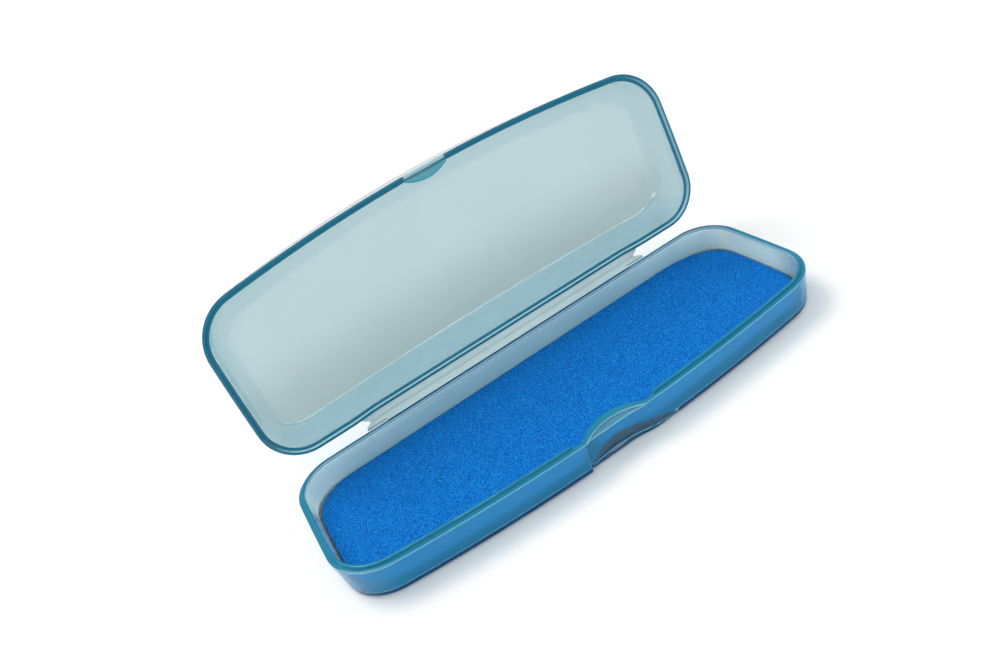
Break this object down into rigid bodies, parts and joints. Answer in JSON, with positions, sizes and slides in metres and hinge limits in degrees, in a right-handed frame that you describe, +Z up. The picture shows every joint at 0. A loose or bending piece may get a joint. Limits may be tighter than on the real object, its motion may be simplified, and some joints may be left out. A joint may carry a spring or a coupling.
{
  "type": "hinged spectacle case",
  "caption": "Open hard spectacle case: shallow tray and domed lid in translucent blue plastic on a living hinge, crescent latch over a thumb scoop, blue felt liner.",
  "frame": {"origin": "on the flat underside of the tray, midway along its length and midway between the hinge-side edge and the front corners", "axes": "+X along the case's length, -Y towards the latch and thumb scoop, +Y towards the hinge, +Z up out of the tray"},
  "size_m": [0.16, 0.0875, 0.0706],
  "materials": {
    "tray_plastic": "translucent blue, glossy",
    "lid_plastic": "translucent pale blue, glossy",
    "hinge_plastic": "thin, milky translucent, satin",
    "liner_felt": "short-pile blue felt",
    "adhesive_tape": "double-sided tape, matt"
  },
  "bodies": {
    "tray": {"base_shell": "tray_plastic", "latch_catch": "tray_plastic", "base_hinge_leaf": "hinge_plastic", "hinge_web": "hinge_plastic", "liner_pad": "liner_felt", "liner_tape_left": "adhesive_tape", "liner_tape_right": "adhesive_tape"},
    "lid": {"lid_shell": "lid_plastic", "latch_tab": "lid_plastic", "lid_hinge_leaf": "hinge_plastic"}
  },
  "joints": [
    {"name": "lid_hinge", "type": "hinge", "parent": "tray", "child": "lid", "pos_m": [0, 0.02765, 0.01236], "axis": [1, 0, 0], "range_deg": [-35, 102.4]}
  ]
}
